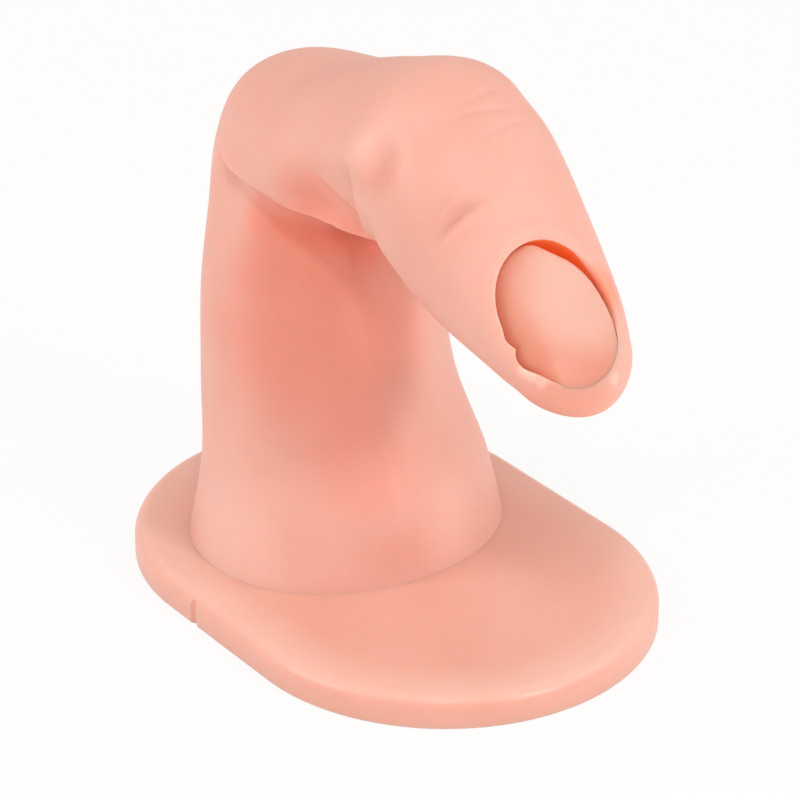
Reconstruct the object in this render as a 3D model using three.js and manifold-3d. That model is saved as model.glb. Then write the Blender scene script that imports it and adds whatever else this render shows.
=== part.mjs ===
// Nail practice finger: a soft moulded finger, bent at its middle joint, standing on a flat rounded foot.
// Millimetres, +Z up. The finger points along -Y and its sides face along X. The origin is the centre
// of the foot's underside.

import * as THREE from 'three';
import { mergeVertices } from 'three/addons/utils/BufferGeometryUtils.js';
import Module from 'manifold-3d';

const wasm = await Module();
wasm.setup();

// Base plate: a stadium, two round ends joined by straight sides
const plateEndRadius = 28;
const plateEndSpacing = 22.4;
const plateThickness = 4.4;
const plateTopRounding = 1.9;
const plateBottomRounding = 0.3;
const gateMarkRadius = 0.8;
const gateMarkDepth = 0.5;
const gateMarkPlace = 5.5;

// Finger: every slice runs from the back of the finger to its palm side. Both ends are [y, z] on the
// finger's middle plane, and halfWidth is measured along X.
const footSlice = { back: [29.2, plateThickness], palm: [-8.4, plateThickness], halfWidth: 21.5 };
const ankleSlice = { back: [29.2, 14.5], palm: [-8, 14], halfWidth: 18.8 };
const lowColumnSlice = { back: [31, 25.5], palm: [-2.9, 24.7], halfWidth: 16.6 };
const highColumnSlice = { back: [30.4, 38.4], palm: [1, 37.6], halfWidth: 15.8 };
const underBendSlice = { back: [29.3, 49.6], palm: [4.6, 46.1], halfWidth: 14.1 };
const creaseSlice = { back: [28, 60.1], palm: [7.4, 49], halfWidth: 12.9 };
const knuckleSlice = { back: [23.5, 67.3], palm: [6.9, 50.1], halfWidth: 12.5 };
const middleBoneSlice = { back: [10.9, 70.1], palm: [3.9, 51], halfWidth: 13.6 };
const saddleSlice = { back: [0.4, 73.8], palm: [-2.7, 50.9], halfWidth: 12.8 };
const endJointSlice = { back: [-10.7, 76.8], palm: [-8.7, 52.4], halfWidth: 12.4 };
const endBoneSlice = { back: [-19, 72.9], palm: [-11.8, 50.3], halfWidth: 12.8 };
const beforeNailSlice = { back: [-26.8, 65.7], palm: [-19.6, 46.3], halfWidth: 11.8 };
const nailSlice = { back: [-34.2, 56.6], palm: [-30.9, 43.9], halfWidth: 10 };
const fingertipSlice = { back: [-38.2, 50.7], palm: [-36, 42.6], halfWidth: 8.3 };
const slices = [
  footSlice, ankleSlice, lowColumnSlice, highColumnSlice, underBendSlice, creaseSlice, knuckleSlice,
  middleBoneSlice, saddleSlice, endJointSlice, endBoneSlice, beforeNailSlice, nailSlice, fingertipSlice,
];
const tipPoint = [-41.1, 42.2];
const tipReach = 2.1;
const sliceSquareness = 2.12;

// Two long shallow flats down the front of the column, on either side of one ridge. Their ends are
// degrees from the middle of the palm side, negative towards -X.
const ridgeTurn = -12;
const columnFlats = [
  { endTurn: -82, depthShare: 0.08 },
  { endTurn: 70, depthShare: 0.045 },
];
const flatFullStation = 0.9;
const flatFadeStation = 4.2;
const flatEndStation = 5.4;

// Flexion crease on both flanks of the middle joint: the skin above it overhangs the column
const creaseHeight = 54.3;
const creaseRiseStart = 4;
const creaseRiseRate = 0.0135;
const creaseFrontEnd = -12;
const creaseFrontFull = -7;
const creaseBackFull = 17;
const creaseBackEnd = 22;
const creaseDepth = 2.8;
const creaseReach = 7;
const creaseLip = 0.9;
const creaseLipReach = 3.5;
const creaseSoftness = 0.4;
const creaseGrooveRadius = 0.9;
const creaseGroovePath = [
  [13.4, 19, 57.2], [12.4, 14.8, 55.8], [11.6, 11.4, 54.9], [10.9, 4.5, 54.2], [9.9, -2.7, 54.2],
  [9.9, -6.5, 54.8], [10.5, -11, 55.7],
];

// Fold at the end joint: its front stands proud of a shallow dent behind it
const foldPlace = -8.4;
const foldTurnHeight = 60;
const foldTurnRate = 0.07;
const foldDepth = 2;
const foldReach = 6;
const foldSoftness = 0.4;
const foldFullHeight = 61;
const foldEndHeight = 67;

// Soft hollows on the flank in front of the fold and behind it, and a swelling between them
const flankHollows = [
  { place: [-13.9, 66.8], halfWidth: 1.3, halfHeight: 4.2, depth: 1.1 },
  { place: [0.8, 57.2], halfWidth: 4.6, halfHeight: 3.2, depth: 1.5 },
  { place: [-8.8, 67.6], halfWidth: 2.8, halfHeight: 2.8, depth: -0.7 },
];

// Short fold of skin across the back, on one side only, between the end joint and the nail
const backFoldStation = 10.82;
const backFoldStationSpan = 0.1;
const backFoldTurn = THREE.MathUtils.degToRad(46);
const backFoldTurnSpan = THREE.MathUtils.degToRad(21);
const backFoldDepth = 0.7;

// The flank shifts act on the sides of the finger only
const flankStart = 3;
const flankFull = 8;

// Stretch of the finger, in stations, that holds the creases and folds
const bendStart = 4.5;
const bendEnd = 9.8;

// Hollow of the moulding, open at the foot
const skinWall = 3;
const hollowEndStation = 9;
const hollowTaperStations = 1.2;

// Nail pocket and nail bed, drawn in the plane of the nail
const nailOrigin = [-31, 61];
const nailSlope = THREE.MathUtils.degToRad(54);
const nailTurn = THREE.MathUtils.degToRad(12);
const nailTurnDepth = 8;
const nailSpin = THREE.MathUtils.degToRad(11);
const pocketHalfWidth = 7.2;
const pocketHalfLength = 9.3;
const pocketCentreAlong = 8.6;
const pocketFloorDepth = 5;
const pocketSquareness = 2.1;
const pocketReach = 4;
const bedClearance = 0.3;
const bedDomeHalfWidth = 6.8;
const bedDomeHalfLength = 10.7;
const bedDomeHeight = 5;
const bedDomeShift = 1.6;
const bedTilt = THREE.MathUtils.degToRad(9);

// Oval spigot on the base plate, inside the open foot
const spigotClearance = 0.3;
const spigotTopStation = 0.5;
const spigotCutStation = 1;
const spigotWall = 2.4;

const columnRings = 15;
const bendRings = 36;
const fingerRings = 16;
const tipRings = 13;
const ringPoints = 54;
const hollowRings = 26;
const hollowPoints = 28;
const plateEndPoints = 26;
const roundingSteps = 4;
const nailOutlinePoints = 64;
const grooveSteps = 20;
const grooveSides = 10;
const domeSegments = 48;
const gateMarkSides = 12;

const skinVinyl = new THREE.MeshStandardMaterial({ color: 0xf5ac96, roughness: 0.5, metalness: 0 });
const bedVinyl = new THREE.MeshStandardMaterial({ color: 0xf7b49e, roughness: 0.45, metalness: 0 });
const plateVinyl = new THREE.MeshStandardMaterial({ color: 0xf4aa92, roughness: 0.5, metalness: 0 });

const quarterTurn = Math.PI / 2;
const fullTurn = Math.PI * 2;
const lastStation = slices.length - 1;

function middlePlaneLine(side) {
  return new THREE.SplineCurve(slices.map((slice) => new THREE.Vector2(...slice[side])));
}

const backLine = middlePlaneLine('back');
const palmLine = middlePlaneLine('palm');
const widthLine = new THREE.SplineCurve(
  slices.map((slice, index) => new THREE.Vector2(index, slice.halfWidth)),
);

// A value of the last slice runs on along its slope past that slice and eases to its end at the tip
function closeTip(value, slope, end, tipAngle) {
  const carried = value + slope * Math.sin(tipAngle);
  return carried + (end - value - slope) * (1 - Math.cos(tipAngle));
}

// One slice at a place counted in stations. Past the last station the slices close in to the tip.
function sliceAt(station) {
  const share = Math.min(station / lastStation, 1);
  const tipAngle = Math.max(station - lastStation, 0) * quarterTurn;
  const [last, before] = [slices.at(-1), slices.at(-2)];
  const slope = (end, start) => ((end - start) / 2) * tipReach;
  const [back, palm] = [[backLine, 'back'], [palmLine, 'palm']].map(([line, side]) => {
    const at = line.getPoint(share);
    at.x = closeTip(at.x, slope(last[side][0], before[side][0]), tipPoint[0], tipAngle);
    at.y = closeTip(at.y, slope(last[side][1], before[side][1]), tipPoint[1], tipAngle);
    return at;
  });
  const widthSlope = slope(last.halfWidth, before.halfWidth) * Math.sin(tipAngle);
  const halfWidth = (widthLine.getPoint(share).y + widthSlope) * Math.cos(tipAngle);
  const outward = back.clone().sub(palm);
  const halfDepth = outward.length() / 2;
  return { centre: back.add(palm).multiplyScalar(0.5), outward: outward.normalize(), halfDepth, halfWidth };
}

function signedPower(value, power) {
  return Math.sign(value) * Math.abs(value) ** power;
}

// Share by which one flat pulls a point in: it starts crisply at the ridge and ends softly
function oneFlatShare(flat, turnFromPalm) {
  const span = THREE.MathUtils.degToRad(flat.endTurn - ridgeTurn);
  const offCentre = (2 * (turnFromPalm - THREE.MathUtils.degToRad(ridgeTurn))) / span - 1;
  if (Math.abs(offCentre) > 1) return 0;
  return flat.depthShare * (offCentre < 0 ? 1 - offCentre ** 2 : Math.cos(offCentre * quarterTurn) ** 2);
}

// Share by which the column's flats pull a point in, by its turn from the palm side
function flatShare(station, turnFromPalm) {
  const rise = THREE.MathUtils.smoothstep(station, 0, flatFullStation);
  const fade = 1 - THREE.MathUtils.smoothstep(station, flatFadeStation, flatEndStation);
  const depths = columnFlats.map((flat) => oneFlatShare(flat, turnFromPalm));
  return rise * fade * Math.max(...depths);
}

function bell(value) {
  return Math.exp(-value * value);
}

// Height of the flexion crease at a place along the finger
function creaseLine(y) {
  return creaseHeight + creaseRiseRate * Math.max(y - creaseRiseStart, 0) ** 2;
}

// How far the flexion crease moves a flank inwards; the lip over it moves outwards
function creaseShift(y, z) {
  const above = z - creaseLine(y);
  const under = creaseDepth * Math.exp(Math.min(above, 0) / creaseReach);
  const over = -creaseLip * Math.exp(-Math.max(above, 0) / creaseLipReach);
  const front = THREE.MathUtils.smoothstep(y, creaseFrontEnd, creaseFrontFull);
  const behind = 1 - THREE.MathUtils.smoothstep(y, creaseBackFull, creaseBackEnd);
  const share = THREE.MathUtils.smoothstep(above, -creaseSoftness, creaseSoftness);
  return THREE.MathUtils.lerp(under, over, share) * front * behind;
}

// How far the fold at the end joint moves a flank inwards, behind its edge
function foldShift(y, z) {
  const behind = y - foldPlace - foldTurnRate * Math.max(foldTurnHeight - z, 0) ** 2;
  const edge = THREE.MathUtils.smoothstep(behind, -foldSoftness, foldSoftness);
  const low = 1 - THREE.MathUtils.smoothstep(z, foldFullHeight, foldEndHeight);
  const high = THREE.MathUtils.smoothstep(z - creaseLine(y), 0, creaseLipReach);
  return foldDepth * edge * low * high * Math.exp(-Math.max(behind, 0) / foldReach);
}

function hollowShift(y, z) {
  return flankHollows.reduce((sum, hollow) => {
    const across = bell((y - hollow.place[0]) / hollow.halfWidth);
    return sum + hollow.depth * across * bell((z - hollow.place[1]) / hollow.halfHeight);
  }, 0);
}

function backFoldShift(station, turn) {
  return backFoldDepth * bell((station - backFoldStation) / backFoldStationSpan)
    * bell((turn - backFoldTurn) / backFoldTurnSpan);
}

// Closed ring of points round a slice, drawn smaller all round by the inset
function plainRing(station, inset, count) {
  const slice = sliceAt(station);
  return Array.from({ length: count }, (_, index) => {
    const turn = (index / count) * fullTurn;
    const size = 1 - flatShare(station, turn - Math.PI);
    const shift = inset + backFoldShift(station, turn);
    const across = -signedPower(Math.sin(turn), 2 / sliceSquareness) * (slice.halfWidth - shift) * size;
    const depth = signedPower(Math.cos(turn), 2 / sliceSquareness) * (slice.halfDepth - shift) * size;
    return new THREE.Vector3(
      across,
      slice.centre.x + slice.outward.x * depth,
      slice.centre.y + slice.outward.y * depth,
    );
  });
}

// The same ring with the creases and folds of the flanks
function skinRing(station) {
  return plainRing(station, 0, ringPoints).map((point) => {
    const { x, y, z } = point;
    const shift = creaseShift(y, z) + foldShift(y, z) + hollowShift(y, z);
    const share = THREE.MathUtils.smoothstep(Math.abs(x), flankStart, flankFull);
    return point.setX(x - Math.sign(x) * shift * share);
  });
}

function ringMiddle(ring) {
  return ring.reduce((sum, point) => sum.add(point), new THREE.Vector3()).divideScalar(ring.length);
}

// Closed body through rings of equal length, with a fan over each end ring
function loftRings(rings) {
  const count = rings[0].length;
  const points = [...rings.flat(), ringMiddle(rings[0]), ringMiddle(rings.at(-1))];
  const triangles = [];
  for (let row = 0; row < rings.length - 1; row += 1) {
    for (let column = 0; column < count; column += 1) {
      const here = row * count + column;
      const next = row * count + ((column + 1) % count);
      triangles.push(here, next, next + count, here, next + count, here + count);
    }
  }
  const top = (rings.length - 1) * count;
  for (let column = 0; column < count; column += 1) {
    const next = (column + 1) % count;
    triangles.push(points.length - 2, next, column, points.length - 1, top + column, top + next);
  }
  const geometry = new THREE.BufferGeometry().setFromPoints(points);
  geometry.setIndex(triangles);
  return geometry;
}

function toSolid(geometry) {
  geometry.deleteAttribute('normal');
  geometry.deleteAttribute('uv');
  const merged = mergeVertices(geometry);
  return new wasm.Manifold(new wasm.Mesh({
    numProp: 3,
    vertProperties: Float32Array.from(merged.attributes.position.array),
    triVerts: Uint32Array.from(merged.index.array),
  }));
}

function toMesh(solid, name, material) {
  const data = solid.getMesh();
  const geometry = new THREE.BufferGeometry();
  geometry.setAttribute('position', new THREE.BufferAttribute(data.vertProperties, 3));
  geometry.setIndex(new THREE.BufferAttribute(data.triVerts, 1));
  geometry.computeVertexNormals();
  const mesh = new THREE.Mesh(geometry, material);
  mesh.name = name;
  return mesh;
}

function evenStations(from, to, count) {
  return Array.from({ length: count }, (_, index) => from + ((to - from) * index) / count);
}

// Outer form of the whole finger, with close rings round the bend and its creases
function fingerForm() {
  const places = [
    ...evenStations(0, bendStart, columnRings),
    ...evenStations(bendStart, bendEnd, bendRings),
    ...evenStations(bendEnd, lastStation, fingerRings),
    ...evenStations(lastStation, lastStation + 1, tipRings),
  ];
  return toSolid(loftRings(places.map(skinRing)));
}

// Hollow of the moulding, running out through the foot and tapering to a round end
function fingerHollow() {
  const rings = Array.from({ length: hollowRings }, (_, index) => {
    const station = (index / hollowRings) * hollowEndStation;
    const taper = Math.max(station - hollowEndStation + hollowTaperStations, 0) / hollowTaperStations;
    const shrink = (1 - Math.cos(taper * quarterTurn)) * (sliceAt(station).halfDepth - skinWall);
    return plainRing(station, skinWall + shrink, hollowPoints);
  });
  const below = rings[0].map((point) => point.clone().setZ(0));
  return toSolid(loftRings([below, ...rings]));
}

// Round rod along a path, closed at both ends
function roundRod(path, steps, radius, sides) {
  const frames = path.computeFrenetFrames(steps, false);
  return loftRings(Array.from({ length: steps + 1 }, (_, step) => {
    const at = path.getPointAt(step / steps);
    return Array.from({ length: sides }, (_unused, side) => {
      const turn = (side / sides) * fullTurn;
      return at.clone()
        .addScaledVector(frames.normals[step], Math.cos(turn) * radius)
        .addScaledVector(frames.binormals[step], Math.sin(turn) * radius);
    });
  }));
}

// Rods that cut the bottom of the flexion crease, one on each flank
function creaseGrooves() {
  const [left, right] = [-1, 1].map((side) => {
    const places = creaseGroovePath.map(([x, y, z]) => new THREE.Vector3(side * x, y, z));
    const path = new THREE.CatmullRomCurve3(places);
    return toSolid(roundRod(path, grooveSteps, creaseGrooveRadius, grooveSides));
  });
  return left.add(right);
}

// Moves a shape drawn in the plane of the nail, round the pocket's centre, to its place on the finger
function placeOnNail(geometry) {
  geometry.rotateZ(nailSpin);
  geometry.translate(0, pocketCentreAlong, nailTurnDepth);
  geometry.rotateY(nailTurn);
  geometry.translate(0, 0, -nailTurnDepth);
  const along = new THREE.Vector3(0, -Math.cos(nailSlope), -Math.sin(nailSlope));
  const across = new THREE.Vector3(-1, 0, 0);
  const frame = new THREE.Matrix4().makeBasis(across, along, new THREE.Vector3().crossVectors(across, along));
  frame.setPosition(0, ...nailOrigin);
  return toSolid(geometry.applyMatrix4(frame));
}

// Upright prism on a nail outline, from the pocket floor to clear above the skin
function nailPrism(halfWidth, halfLength) {
  const outline = new THREE.Shape(Array.from({ length: nailOutlinePoints }, (_, index) => {
    const turn = (index / nailOutlinePoints) * fullTurn;
    return new THREE.Vector2(
      signedPower(Math.cos(turn), 2 / pocketSquareness) * halfWidth,
      signedPower(Math.sin(turn), 2 / pocketSquareness) * halfLength,
    );
  }));
  const depth = pocketFloorDepth + pocketReach;
  const prism = new THREE.ExtrudeGeometry(outline, { depth, bevelEnabled: false });
  return placeOnNail(prism.translate(0, 0, -pocketFloorDepth));
}

// Round dome of the nail bed over the pocket floor, raised towards the fingertip
function bedDome() {
  const dome = new THREE.SphereGeometry(1, domeSegments, domeSegments / 2);
  dome.scale(bedDomeHalfWidth, bedDomeHalfLength, bedDomeHeight);
  dome.rotateX(bedTilt);
  return placeOnNail(dome.translate(0, bedDomeShift, -pocketFloorDepth));
}

function fingerSkin() {
  const pocket = nailPrism(pocketHalfWidth, pocketHalfLength);
  const solid = fingerForm().subtract(creaseGrooves()).subtract(fingerHollow()).subtract(pocket);
  return toMesh(solid, 'finger_skin', skinVinyl);
}

// The bed's dome stands on the pocket floor and leaves a slot along the pocket's walls
function nailBed() {
  const prism = nailPrism(pocketHalfWidth - bedClearance, pocketHalfLength - bedClearance);
  return toMesh(prism.intersect(bedDome()), 'nail_bed', bedVinyl);
}

// Ring round the stadium plate at one level, drawn smaller all round by the inset
function plateRing(inset, level) {
  const radius = plateEndRadius - inset;
  const outline = new THREE.Shape();
  outline.absarc(0, plateEndSpacing / 2, radius, 0, Math.PI, false);
  outline.absarc(0, -plateEndSpacing / 2, radius, Math.PI, fullTurn, false);
  return outline.getPoints(plateEndPoints).map((at) => new THREE.Vector3(at.x, at.y, level));
}

function plateBody() {
  const corner = (radius, step) => radius * (1 - Math.sin((step / roundingSteps) * quarterTurn));
  const rise = (radius, step) => radius * (1 - Math.cos((step / roundingSteps) * quarterTurn));
  const steps = Array.from({ length: roundingSteps + 1 }, (_, step) => step);
  const lower = steps.map((step) => plateRing(
    corner(plateBottomRounding, step), rise(plateBottomRounding, step),
  ));
  const upper = steps.map((step) => plateRing(
    corner(plateTopRounding, step), plateThickness - rise(plateTopRounding, step),
  )).reverse();
  return toSolid(loftRings([...lower, ...upper]));
}

// Upright round mark in the plate's straight edge, where the moulding gate was
function gateMark() {
  const height = plateThickness + 2 * gateMarkRadius;
  const mark = new THREE.CylinderGeometry(gateMarkRadius, gateMarkRadius, height, gateMarkSides);
  mark.rotateX(quarterTurn);
  mark.translate(gateMarkDepth - gateMarkRadius - plateEndRadius, gateMarkPlace, plateThickness / 2);
  return toSolid(mark);
}

// Oval plug that follows the hollow from halfway down the plate up to a station
function ovalPlug(inset, topStation) {
  const rings = [0, topStation].map((station) => plainRing(station, inset, hollowPoints));
  const below = rings[0].map((point) => point.clone().setZ(plateThickness / 2));
  return toSolid(loftRings([below, ...rings]));
}

function basePlate() {
  const outer = ovalPlug(skinWall + spigotClearance, spigotTopStation);
  const inner = ovalPlug(skinWall + spigotClearance + spigotWall, spigotCutStation);
  const plate = plateBody().subtract(gateMark()).add(outer.subtract(inner));
  return toMesh(plate, 'base_plate', plateVinyl);
}

const practiceFinger = new THREE.Group();
practiceFinger.name = 'nail_practice_finger';
practiceFinger.add(basePlate(), fingerSkin(), nailBed());
export default practiceFinger;
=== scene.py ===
"""Looks of a nail practice finger: soft vinyl on a rounded foot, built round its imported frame."""

import logging
import math
from collections.abc import Callable
from dataclasses import dataclass, field
from enum import Enum

import bpy
import numpy as np
from mathutils import Matrix, Vector
from mathutils.bvhtree import BVHTree


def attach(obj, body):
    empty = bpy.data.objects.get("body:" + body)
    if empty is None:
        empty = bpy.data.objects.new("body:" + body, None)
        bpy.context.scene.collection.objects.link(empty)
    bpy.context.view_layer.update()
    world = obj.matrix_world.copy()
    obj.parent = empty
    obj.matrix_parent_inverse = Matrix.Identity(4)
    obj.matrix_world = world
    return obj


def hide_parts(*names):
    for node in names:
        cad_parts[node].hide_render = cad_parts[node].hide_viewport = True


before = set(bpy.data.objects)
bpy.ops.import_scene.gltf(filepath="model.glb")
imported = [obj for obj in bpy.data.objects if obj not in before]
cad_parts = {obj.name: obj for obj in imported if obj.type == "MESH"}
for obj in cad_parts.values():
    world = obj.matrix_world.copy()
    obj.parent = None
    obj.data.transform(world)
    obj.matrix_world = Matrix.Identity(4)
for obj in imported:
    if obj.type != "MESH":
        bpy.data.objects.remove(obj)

log = logging.getLogger("practice_finger")

MM = 0.001
ROOT = "root"
FULL_TURN = 2 * math.pi
QUARTER_TURN = math.pi / 2
JOIN_DISTANCE = 0.002 * MM
TINY = 1e-9

# Height of the foot's top face, where the finger stands, in mm
PLATE_TOP = 4.4


class Side(Enum):
    """The studio's lamps, by what each is for."""

    KEY = "key"
    FILL = "fill"
    RIM = "rim"
    RIGHT = "right"


class PaintedLight(Enum):
    """Colours of painted shade and painted highlights: deep in folds and hollows, pale on lips and
    ridges.
    """

    # Painted shadow of the bent finger on the column, and painted light that lifts it on the column's
    # ridge
    COLUMN = "#E68D76"
    COLUMN_RIDGE = "#FFB8A4"
    # Painted orange shade on the flank, in the dents by the end joint and under the flexion crease
    FLANK = "#E08A74"
    PALM = "#E8866C"
    CREASE_FRONT = "#F88468"
    CREASE_BACK = "#F4886C"
    # Painted shade in the fold's hollow, and a painted highlight on its edge
    FOLD = "#EE8C70"
    FOLD_EDGE = "#F2CDBE"
    # Painted light low on the column, and painted orange shade at the tip beside the nail bed
    FOOT = "#F2CDC0"
    TIP = "#DE8A6C"
    # Painted highlights on the raised lips by the nail
    LIP = "#F4D6CA"
    # Painted orange shade and glow colour on the rim's slope, the pocket's wall and the nail bed, for
    # light seen through thin vinyl
    NAIL_RIM = "#EA8A68"
    NAIL_WALL = "#DE7C46"
    NAIL_BED = "#D9886D"
    # Painted highlight along the foot's rounded top edge
    PLATE_EDGE = "#ECD3C5"


class Change(Enum):
    """How a value changes between two limits."""

    EVEN = "LINEAR"
    SOFT = "SMOOTHSTEP"


class Join(Enum):
    """How two values are made into one."""

    LARGER = "MAXIMUM"
    PRODUCT = "MULTIPLY"


# Shapes shared by the finger and its nail


def smoothstep(value: np.ndarray, low: float, high: float) -> np.ndarray:
    """Eases from 0 to 1 between two limits.

    Args:
        value: Values to ease.
        low: Where the result is 0.
        high: Where the result is 1.

    Returns:
        The eased values.
    """
    share = np.clip((value - low) / (high - low), 0, 1)
    return share * share * (3 - 2 * share)


def bell(value: np.ndarray) -> np.ndarray:
    """Returns a smooth bump of height 1 round 0."""
    return np.exp(-value * value)


def signed_power(value: np.ndarray, power: float) -> np.ndarray:
    """Returns the values to a power, with their signs kept."""
    return np.sign(value) * np.abs(value) ** power


def curve_at(values: np.ndarray, stations: np.ndarray) -> np.ndarray:
    """Finds places on the smooth curve that passes through evenly numbered values.

    Args:
        values: One row for each station.
        stations: Places along the curve, counted in stations.

    Returns:
        One row for each place.
    """
    last = len(values) - 1
    first = np.minimum(np.clip(stations, 0, last).astype(int), last - 1)
    share = (np.clip(stations, 0, last) - first)[:, None]
    before = values[np.maximum(first - 1, 0)]
    start = values[first]
    end = values[first + 1]
    after = values[np.minimum(first + 2, last)]
    leaving = (end - before) / 2
    arriving = (after - start) / 2
    return (
        (2 * start - 2 * end + leaving + arriving) * share**3
        + (3 * end - 3 * start - 2 * leaving - arriving) * share**2
        + leaving * share
        + start
    )


@dataclass(frozen=True)
class Slice:
    """One slice of the finger: its back and palm ends as (y, z), and half its width, in mm."""

    back: tuple[float, float]
    palm: tuple[float, float]
    half_width: float


@dataclass(frozen=True)
class Wrinkle:
    """A short groove across the back of the finger.

    Its place and reach are counted in stations along the finger and degrees round it.
    """

    station: float
    turn: float
    reach: float
    width: float
    depth: float
    slant: float = 0.0


@dataclass(frozen=True)
class Hollow:
    """A soft hollow in a flank, or a swelling where its depth is negative, in mm."""

    place: tuple[float, float]
    half_width: float
    half_height: float
    depth: float


@dataclass(frozen=True)
class Lip:
    """A short raised lip beside the pocket's rim: its turn round the rim in degrees, its sizes in mm."""

    turn: float
    half_turn: float
    beyond: float
    half_width: float
    height: float


@dataclass(frozen=True)
class NailPlace:
    """Where the nail lies: a plane on the back of the finger, turned a little round it, in mm.

    Each nick in the rim has its turn round the nail and its width, in degrees, and its depth.
    """

    origin: tuple[float, float] = (-31, 61)
    slope: float = math.radians(54)
    turn: float = math.radians(12)
    turn_depth: float = 8
    spin: float = math.radians(11)
    half_width: float = 7.2
    half_length: float = 9.3
    centre_along: float = 8.6
    floor_depth: float = 5
    squareness: float = 2.1
    nicks: tuple[tuple[float, float, float], ...] = (
        (-4, 5, -0.2),
        (4.5, 3, 0.33),
        (16.5, 11, -0.58),
        (46, 6, 0.14),
    )
    nick_fade: tuple[float, float] = (0.72, 0.98)

    def matrix(self) -> Matrix:
        """Places the nail's own plane (across, along, out) on the finger.

        Returns:
            The matrix from the plane to the object, in mm.
        """
        across = Vector((-1, 0, 0))
        along = Vector((0, -math.cos(self.slope), -math.sin(self.slope)))
        out = across.cross(along)
        basis = Matrix((across, along, out)).transposed().to_4x4()
        place = Matrix.Translation((0, *self.origin)) @ basis
        turn = Matrix.Rotation(self.turn, 4, "Y")
        return (
            place
            @ Matrix.Translation((0, 0, -self.turn_depth))
            @ turn
            @ Matrix.Translation((0, 0, self.turn_depth))
        )

    def to_nail(self, points: np.ndarray) -> np.ndarray:
        """Gives points of the object in the nail's plane, in mm."""
        inverse = np.array(self.matrix().inverted())
        return points @ inverse[:3, :3].T + inverse[:3, 3]

    def to_object(self, points: np.ndarray) -> np.ndarray:
        """Gives points of the nail's plane in the object, in mm."""
        matrix = np.array(self.matrix())
        return points @ matrix[:3, :3].T + matrix[:3, 3]

    def outline(self, turns: np.ndarray, inset: np.ndarray | float = 0) -> tuple[np.ndarray, np.ndarray]:
        """Finds the rim of the pocket.

        Args:
            turns: Angles round the pocket.
            inset: How far inside the rim to draw, in mm.

        Returns:
            The places across and along the nail's plane.
        """
        power = 2 / self.squareness
        inset = inset + self.nick_depth(turns)
        wide = signed_power(np.cos(turns), power) * (self.half_width - inset)
        long = signed_power(np.sin(turns), power) * (self.half_length - inset)
        cos, sin = math.cos(self.spin), math.sin(self.spin)
        return wide * cos - long * sin, wide * sin + long * cos + self.centre_along

    def nick_depth(self, turns: np.ndarray) -> np.ndarray:
        """Finds how far the uneven stretch of the rim stands into the pocket.

        Args:
            turns: Angles round the pocket.

        Returns:
            The depth at each angle, in mm, negative where the rim lies further out.
        """
        degrees = np.degrees(turns)
        total = np.zeros_like(degrees)
        for place, width, depth in self.nicks:
            offset = (degrees - place + 180) % 360 - 180
            total += depth * bell(offset / width)
        return total

    def in_outline(
        self, across: np.ndarray, along: np.ndarray
    ) -> tuple[np.ndarray, np.ndarray, np.ndarray]:
        """Measures points of the nail's plane against its plain outline, without the nicks.

        Args:
            across: Places across the plane, in mm.
            along: Places along it, in mm.

        Returns:
            Their shares of the way to the rim, turns round it and distances from its centre.
        """
        offset = along - self.centre_along
        cos, sin = math.cos(self.spin), math.sin(self.spin)
        wide = (across * cos + offset * sin) / self.half_width
        long = (offset * cos - across * sin) / self.half_length
        power = self.squareness
        share = (np.abs(wide) ** power + np.abs(long) ** power) ** (1 / power)
        turn = np.arctan2(signed_power(long, power / 2), signed_power(wide, power / 2))
        return share, turn, np.hypot(across, offset)

    def beyond_rim(self, across: np.ndarray, along: np.ndarray) -> np.ndarray:
        """Finds how far points of the nail's plane lie outside the rim.

        Args:
            across: Places across the plane, in mm.
            along: Places along it, in mm.

        Returns:
            Their distances beyond the rim, in mm, negative inside it.
        """
        share, turn, distance = self.in_outline(across, along)
        rim = np.where(share > TINY, distance / np.maximum(share, TINY), self.half_width)
        return distance - rim + self.nick_depth(turn) * smoothstep(share, *self.nick_fade)


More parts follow.
